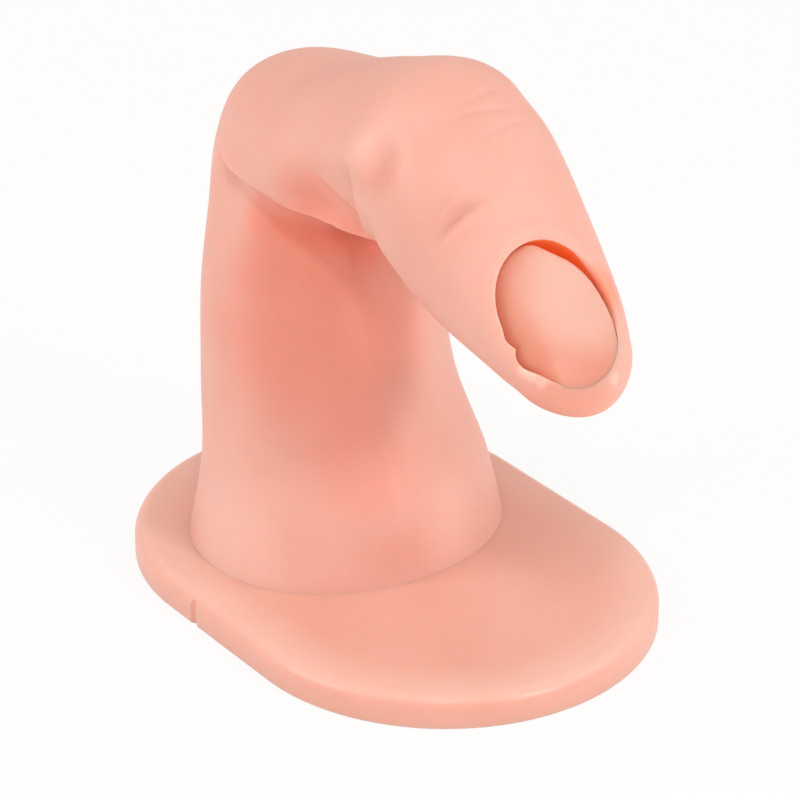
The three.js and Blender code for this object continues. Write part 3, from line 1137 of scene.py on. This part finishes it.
@dataclass
class FingerSkin:
    """The moulded finger from its foot to its tip, with the nail pocket cut into it.

    The row shares set which share of the mesh's rows lies up to which slice of the finger.
    """

    form: FingerForm = field(default_factory=FingerForm)
    finish: SoftVinyl = SoftVinyl(
        "soft_vinyl_skin",
        "#E4B0A1",
        "#E6B5A6",
        "#E2AA9A",
        painted_patches=(
            # Painted orange shade at the tip beside the nail bed, and on the slope of the pocket's rim
            PaintedPatch((-3, -40.5, 46.5), (8, 2), 0.45, PaintedLight.TIP),
            PaintedPatch((5.2, -35, 54.5), (4.5, 1.5), 0.6),
            # Painted shadow cast by the bent finger on the column, lifted by painted light on its ridge
            PaintedPatch((-9, 4, 37), (20, 6), 0.62, PaintedLight.COLUMN),
            PaintedPatch((-8, 8, 49), (11, 2), 0.45, PaintedLight.COLUMN),
            PaintedPatch((-8, -2.5, 21), (11, 2), 0.4, PaintedLight.COLUMN),
            PaintedPatch((1.5, 1, 37), (10, 2), 0.45, PaintedLight.COLUMN_RIDGE),
            # Painted orange shade under the flexion crease and on the flank below it
            PaintedPatch((0.3, 4.8, 46.8), (5, 0.6), 0.5, PaintedLight.CREASE_FRONT),
            PaintedPatch((-4.9, 6.9, 48.8), (4.5, 0.6), 0.3, PaintedLight.CREASE_FRONT),
            PaintedPatch((-8.1, 9.8, 49.8), (4.5, 0.6), 0.4, PaintedLight.CREASE_BACK),
            PaintedPatch((-10.9, 13.1, 51), (4.5, 0.6), 0.35, PaintedLight.CREASE_BACK),
            PaintedPatch((-14, 11, 45), (6.5, 1), 0.3, PaintedLight.FLANK),
            # Painted light low on the column
            PaintedPatch((-20, 8.5, 9), (12, 2), 0.4, PaintedLight.FOOT),
            PaintedPatch((4, -7, 11), (8, 1), 0.35, PaintedLight.FOOT),
            # Painted shade in the dents and the fold's hollow by the end joint, and a painted highlight
            # on the fold's edge
            PaintedPatch((-11, 0.8, 57.5), (9, 1), 0.58, PaintedLight.PALM),
            PaintedPatch((-9.6, -5, 55.5), (4.5, 0.6), 0.5, PaintedLight.PALM),
            PaintedPatch((-11.4, -13.4, 66.4), (4.5, 0.8), 0.24, PaintedLight.FOLD),
            PaintedPatch((-12.2, -10.4, 68.4), (4.6, 0.3), 0.34, PaintedLight.FOLD_EDGE),
            # Painted highlights on the raised lips by the nail
            PaintedPatch((-8.2, -37.2, 48.7), (1.2, 0.2), 0.6, PaintedLight.LIP),
            PaintedPatch((-7.5, -38, 48.2), (1.2, 0.2), 0.6, PaintedLight.LIP),
            PaintedPatch((-6.6, -38.8, 47.6), (1.2, 0.2), 0.6, PaintedLight.LIP),
            PaintedPatch((2.9, -40.6, 45.7), (1.2, 0.2), 0.5, PaintedLight.LIP),
        ),
        seam_heights=(4.6, 9),
        # Painted orange glow at the pocket's rim, for light seen through the thin wall
        glow=0.12,
        glow_place=(4.6, -34.6, 55),
        glow_reach=(1.2, 4.2),
    )
    # The pocket's wall: the vinyl painted a deeper orange, with painted glow and painted orange shade,
    # for light seen through the thin wall
    wall_glow_finish: SoftVinyl = SoftVinyl(
        "thin_soft_vinyl_wall_painted_glow",
        "#EC9F84",
        "#EFAE96",
        "#E98F70",
        glow=0.28,
        glow_place=(2, -31, 58.5),
        painted_patches=(PaintedPatch((2, -31, 58.5), (9, 3), 0.9, PaintedLight.NAIL_WALL),),
    )
    columns: int = 264
    rows: int = 330
    row_shares: tuple[tuple[float, float], ...] = (
        (0, 0),
        (0.05, 0.12),
        (0.24, 4.4),
        (0.62, 9.4),
        (0.9, 13),
        (1, 14),
    )
    rim_points: int = 288
    cutter_reach: float = 6
    edge_angle: float = 38

    def station(self, share: np.ndarray) -> np.ndarray:
        """Turns a share of the rows into a place along the finger, with close rows at its folds."""
        shares, stations = zip(*self.row_shares)
        return np.interp(share, shares, stations)

    def plain_surface(self, around: np.ndarray, along: np.ndarray) -> np.ndarray:
        """Gives the skin's points before the nail was cut into it."""
        return self.form.points(self.station(along), -around * FULL_TURN, rim=False)

    def surface(self, around: np.ndarray, along: np.ndarray) -> np.ndarray:
        """Gives the skin's points, with the fillet at its foot.

        Args:
            around: Shares round the finger.
            along: Shares along it, from the foot to the tip.

        Returns:
            Points of the object, in mm.
        """
        points = self.form.points(self.station(along), -around * FULL_TURN)
        sunk = self.form.plate_top - self.form.foot_sink
        points[:, 2] = np.where(along == 0, sunk, points[:, 2])
        above = np.clip((points[:, 2] - sunk) / self.form.foot_fillet, 0, 1)
        flare = self.form.foot_fillet * (1 - np.sqrt(1 - (1 - above) ** 2))
        low = self.station(along) < 1
        foot = self.form.slices[0]
        centre = np.array([0, (foot.back[0] + foot.palm[0]) / 2, 0])
        away = points - centre
        away[:, 2] = 0
        away /= np.maximum(np.linalg.norm(away, axis=1), TINY)[:, None]
        return points + away * (flare * low)[:, None]

    def pocket(self) -> bpy.types.Object:
        """Models the shape that the nail pocket takes out of the finger.

        Returns:
            The closed shape, with the pocket wall's finish of painted orange glow and shade.
        """
        nail = self.form.nail
        bpy.ops.object.select_all(action="DESELECT")
        bpy.ops.mesh.primitive_circle_add(vertices=self.rim_points, fill_type="NGON", radius=1)
        cutter = bpy.context.object
        turns = np.arange(self.rim_points) / self.rim_points * FULL_TURN
        across, along = nail.outline(turns)
        flat = np.stack([across, along, np.full_like(across, -nail.floor_depth)], 1)
        place_points(cutter, flat)
        only(cutter)
        bpy.ops.object.mode_set(mode="EDIT")
        bpy.ops.mesh.select_all(action="SELECT")
        height = (nail.floor_depth + self.cutter_reach) * MM
        bpy.ops.mesh.extrude_region_move(TRANSFORM_OT_translate={"value": (0, 0, height)})
        bpy.ops.mesh.select_all(action="SELECT")
        bpy.ops.mesh.normals_make_consistent(inside=False)
        bpy.ops.object.mode_set(mode="OBJECT")
        matrix = nail.matrix()
        matrix.translation *= MM
        cutter.data.transform(matrix)
        cutter.data.materials.append(self.wall_glow_finish.build())
        return cutter

    def build(self) -> tuple[bpy.types.Object, BVHTree]:
        """Makes the finger.

        Returns:
            The piece, and the uncut skin for the nail bed to follow.
        """
        guide = mapped_grid("guide", self.columns, self.rows, self.plain_surface)
        uncut = BVHTree.FromObject(guide, bpy.context.evaluated_depsgraph_get())
        bpy.data.objects.remove(guide)
        piece = mapped_grid("finger_skin_moulding", self.columns, self.rows, self.surface)
        close_up(piece)
        piece.data.materials.append(self.finish.build())
        cut_away(piece, self.pocket())
        smooth(piece, self.edge_angle)
        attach(piece, ROOT)
        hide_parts("finger_skin")
        return piece, uncut


@dataclass
class NailBed:
    """The bed of the nail: the finger's own surface, sunk into the pocket, level with the tip's skin.

    Each edge row has a turn round the nail in degrees and, in mm, the gap to the pocket's wall there,
    the depth of the bed's edge and how far in its rounding reaches.
    """

    nail: NailPlace = field(default_factory=NailPlace)
    finish: SoftVinyl = SoftVinyl(
        "soft_vinyl_nail_bed",
        "#DEB0A0",
        "#E0B5A5",
        "#DCAA98",
        roughness=0.45,
        # Painted orange shade over most of the bed, as where it lies sunk in the pocket
        painted_patches=(PaintedPatch((2.8, -34.6, 56), (4.5, 11), 0.78, PaintedLight.NAIL_BED),),
    )
    columns: int = 240
    rows: int = 90
    wall_share: float = 0.06
    edge_rows: tuple[tuple[float, float, float, float], ...] = (
        (0, 0.05, 2.6, 4.6),
        (26, 0.05, 1.7, 4.0),
        (40, 0.03, 0.6, 3.0),
        (50, 0, 0.1, 2.0),
        (58, 0, 0, 1.5),
        (136, 0, 0, 1.5),
        (146, 0.1, 0.35, 0.5),
        (156, 0.25, 0.6, 0.4),
        (170, 0.45, 0.85, 0.5),
        (190, 0.7, 1.0, 0.6),
        (212, 1.05, 1.2, 0.7),
        (226, 1.3, 1.2, 0.8),
        (237, 1.25, 1.2, 0.9),
        (246, 0.9, 1.2, 1.0),
        (255, 0.4, 1.2, 1.1),
        (263, 0.12, 1.3, 1.4),
        (272, 0.06, 1.6, 1.8),
        (300, 0.05, 1.8, 3.2),
        (330, 0.05, 2.3, 4.4),
    )
    crown_drops: tuple[float, float, float] = (0.9, 0.45, 0.02)
    crown_places: tuple[float, float, float] = (0, 8, 17)
    search_height: float = 12
    edge_angle: float = 50

    def drop(self, across: np.ndarray, along: np.ndarray) -> np.ndarray:
        """Finds how far the bed lies under the finger's surface.

        Args:
            across: Places across the nail's plane, in mm.
            along: Places along it, in mm.

        Returns:
            The depth at each point, in mm.
        """
        turns, gaps, depths, reaches = np.array(self.edge_rows, float).T
        turn = np.degrees(self.nail.in_outline(across, along)[1])
        gap = np.interp(turn, turns, gaps, period=360)
        inside = np.maximum(-self.nail.beyond_rim(across, along) - gap, 0)
        edge = np.interp(turn, turns, depths, period=360)
        reach = np.interp(turn, turns, reaches, period=360)
        crown = np.interp(along, self.crown_places, self.crown_drops)
        share = np.clip(1 - inside / reach, 0, 1)
        return crown + (edge - crown) * (1 - np.sqrt(1 - share**2))

    def surface(self, around: np.ndarray, outwards: np.ndarray, uncut: BVHTree) -> np.ndarray:
        """Gives the bed's points: its top follows the uncut skin, and its wall goes down to the floor.

        Args:
            around: Shares round the nail.
            outwards: Shares from the middle of the top to the foot of the wall.
            uncut: The finger's surface before the pocket was cut.

        Returns:
            Points of the object, in mm.
        """
        nail = self.nail
        share = np.minimum(outwards / (1 - self.wall_share), 1)
        turns, gaps, _, _ = np.array(self.edge_rows, float).T
        gap = np.interp(around * 360, turns, gaps, period=360)
        rim_across, rim_along = nail.outline(around * FULL_TURN, gap)
        across = rim_across * share
        along = nail.centre_along + (rim_along - nail.centre_along) * share
        high = nail.to_object(np.stack([across, along, np.full_like(across, self.search_height)], 1))
        inwards = -Vector(np.array(nail.matrix())[:3, 2])
        hits = [uncut.ray_cast(Vector(point * MM), inwards)[3] for point in high]
        level = self.search_height - np.array(hits, float) / MM
        top = level - self.drop(across, along)
        wall = outwards > 1 - self.wall_share / 2
        out = np.where(wall, -nail.floor_depth, top)
        return nail.to_object(np.stack([across, along, out], 1))

    def build(self, uncut: BVHTree) -> bpy.types.Object:
        """Makes the nail bed over the pocket's floor.

        Args:
            uncut: The finger's surface before the pocket was cut.

        Returns:
            The piece.
        """

        def place(around: np.ndarray, outwards: np.ndarray) -> np.ndarray:
            """Gives the bed's points for shares round the nail and out from its middle."""
            return self.surface(around, outwards, uncut)

        piece = mapped_grid("nail_bed_moulding", self.columns, self.rows, place)
        close_up(piece)
        smooth(piece, self.edge_angle)
        piece.data.materials.append(self.finish.build())
        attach(piece, ROOT)
        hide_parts("nail_bed")
        return piece


@dataclass
class BasePlate:
    """The flat foot: a stadium with a soft top edge and a small gate mark, in mm."""

    finish: SoftVinyl = SoftVinyl(
        "soft_vinyl_foot",
        "#E5B09F",
        "#E7B4A4",
        "#E3AB99",
        roughness=0.36,
        # Painted highlight along the foot's rounded top edge
        edge_highlight_share=0.42,
        edge_highlight_line=11.2,
        edge_highlight_reach=(19.5, 26.4),
        edge_highlight_heights=(3.1, PLATE_TOP),
    )
    end_radius: float = 28
    end_spacing: float = 22.4
    thickness: float = PLATE_TOP
    top_rounding: float = 1.9
    bottom_rounding: float = 0.3
    rounding_steps: int = 12
    outline_points: int = 256
    gate_radius: float = 0.8
    gate_depth: float = 0.5
    gate_place: float = 5.5
    gate_points: int = 32
    edge_angle: float = 40

    def gate_mark(self) -> bpy.types.Object:
        """Models the upright round mark left where the vinyl ran in.

        Returns:
            The closed shape that is cut out of the foot.
        """
        side = self.gate_depth - self.gate_radius - self.end_radius
        place = (side, self.gate_place, self.thickness / 2)
        bpy.ops.object.select_all(action="DESELECT")
        bpy.ops.mesh.primitive_cylinder_add(
            vertices=self.gate_points,
            radius=self.gate_radius * MM,
            depth=2 * self.thickness * MM,
            location=[c * MM for c in place],
        )
        return bpy.context.object

    def build(self) -> bpy.types.Object:
        """Makes the foot from a round disc, drawn out to a stadium and rounded.

        Returns:
            The piece.
        """
        bpy.ops.object.select_all(action="DESELECT")
        bpy.ops.mesh.primitive_cylinder_add(
            vertices=self.outline_points,
            radius=self.end_radius * MM,
            depth=self.thickness * MM,
            location=(0, 0, self.thickness / 2 * MM),
        )
        piece = bpy.context.object
        piece.name = "base_plate_moulding"
        bpy.ops.object.transform_apply(location=True, rotation=True, scale=True)
        for side in (-1, 1):
            select_points(piece, lambda point, side=side: point.co.y * side > JOIN_DISTANCE)
            bpy.ops.transform.translate(value=(0, side * self.end_spacing / 2 * MM, 0))
            bpy.ops.object.mode_set(mode="OBJECT")
        for level, rounding in ((self.thickness * MM, self.top_rounding), (0, self.bottom_rounding)):
            select_points(piece, lambda point, level=level: abs(point.co.z - level) < JOIN_DISTANCE)
            bpy.ops.mesh.select_mode(type="EDGE")
            bpy.ops.mesh.bevel(offset=rounding * MM, segments=self.rounding_steps, affect="EDGES")
            bpy.ops.object.mode_set(mode="OBJECT")
        cut_away(piece, self.gate_mark())
        smooth(piece, self.edge_angle)
        piece.data.materials.clear()
        piece.data.materials.append(self.finish.build())
        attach(piece, ROOT)
        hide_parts("base_plate")
        return piece


# Studio


@dataclass(frozen=True)
class Lamp:
    """A soft square lamp that points at the object, in metres and watts."""

    side: Side
    place: tuple[float, float, float]
    size: float
    power: float
    colour: str = "#FFFFFF"


@dataclass
class Studio:
    """White paper, soft lamps and the camera, placed as in the photograph, in metres and degrees."""

    paper: StudioPaper = field(default_factory=StudioPaper)
    floor_size: float = 6
    lamps: tuple[Lamp, ...] = (
        Lamp(Side.KEY, (0.117, -0.560, 0.350), 0.10, 1.25),
        Lamp(Side.FILL, (-0.529, 0.188, 0.360), 0.30, 1.3),
        Lamp(Side.RIM, (-0.230, -0.300, 0.560), 0.06, 0.55),
        Lamp(Side.RIGHT, (0.441, -0.314, 0.398), 0.12, 0.45),
    )
    aim: tuple[float, float, float] = (0, 0, 0.035)
    sky_colour: str = "#FFE9E1"
    sky_strength: float = 0.7
    camera_target: tuple[float, float, float] = (-0.00307, -0.0058, 0.030)
    camera_azimuth: float = -36.5
    camera_elevation: float = 27.8
    camera_distance: float = 0.45
    camera_lens: float = 159.165
    camera_sensor: float = 36
    camera_near: float = 0.01

    def build_floor(self) -> None:
        """Lays the paper under the object."""
        bpy.ops.object.select_all(action="DESELECT")
        bpy.ops.mesh.primitive_plane_add(size=self.floor_size)
        floor = bpy.context.object
        floor.name = "floor"
        floor.data.materials.append(self.paper.build())

    def build_lamps(self) -> None:
        """Hangs the lamps and turns each to the object."""
        for lamp in self.lamps:
            data = bpy.data.lights.new(lamp.side.value, "AREA")
            data.size = lamp.size
            data.energy = lamp.power
            data.color = linear(lamp.colour)[:3]
            holder = bpy.data.objects.new(lamp.side.value, data)
            bpy.context.scene.collection.objects.link(holder)
            holder.location = lamp.place
            aim = Vector(self.aim) - Vector(lamp.place)
            holder.rotation_euler = aim.to_track_quat("-Z", "Y").to_euler()

    def build_sky(self) -> None:
        """Lights the object evenly from all round, and shows plain white to the eye."""
        world = bpy.data.worlds.new("studio_walls")
        bpy.context.scene.world = world
        world.use_nodes = True
        tree = world.node_tree
        tree.nodes.clear()
        rays = add_node(tree, "ShaderNodeLightPath").outputs
        seen = join(tree, rays["Is Camera Ray"], rays["Is Transmission Ray"], Join.LARGER)
        values = {"Color": linear(self.sky_colour), "Strength": self.sky_strength}
        light = add_node(tree, "ShaderNodeBackground", values)
        white = add_node(tree, "ShaderNodeBackground", {"Strength": 1.0, "Color": (1, 1, 1, 1)})
        links = {0: seen, 1: light.outputs[0], 2: white.outputs[0]}
        mixed = add_node(tree, "ShaderNodeMixShader", links=links)
        add_node(tree, "ShaderNodeOutputWorld", links={"Surface": mixed.outputs[0]})

    def build_camera(self) -> None:
        """Sets the camera at the photograph's angle."""
        azimuth = math.radians(self.camera_azimuth)
        elevation = math.radians(self.camera_elevation)
        back = Vector(
            (
                math.sin(azimuth) * math.cos(elevation),
                -math.cos(azimuth) * math.cos(elevation),
                math.sin(elevation),
            )
        )
        data = bpy.data.cameras.new("camera")
        data.lens = self.camera_lens
        data.sensor_width = self.camera_sensor
        data.clip_start = self.camera_near
        camera = bpy.data.objects.new("camera", data)
        bpy.context.scene.collection.objects.link(camera)
        camera.location = Vector(self.camera_target) + back * self.camera_distance
        camera.rotation_mode = "QUATERNION"
        camera.rotation_quaternion = (-back).to_track_quat("-Z", "Y")
        bpy.context.scene.camera = camera

    def build(self) -> None:
        """Sets up the whole studio."""
        self.build_floor()
        self.build_lamps()
        self.build_sky()
        self.build_camera()
        bpy.context.scene.view_settings.view_transform = "Standard"


def main() -> None:
    """Builds the studio and each piece."""
    logging.basicConfig(level=logging.INFO, format="%(name)s: %(message)s")
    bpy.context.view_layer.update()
    Studio().build()
    skin, uncut = FingerSkin().build()
    pieces = [skin, NailBed().build(uncut), BasePlate().build()]
    for piece in pieces:
        log.info("%s: %d faces", piece.name, len(piece.data.polygons))


if __name__ == "__main__":
    main()
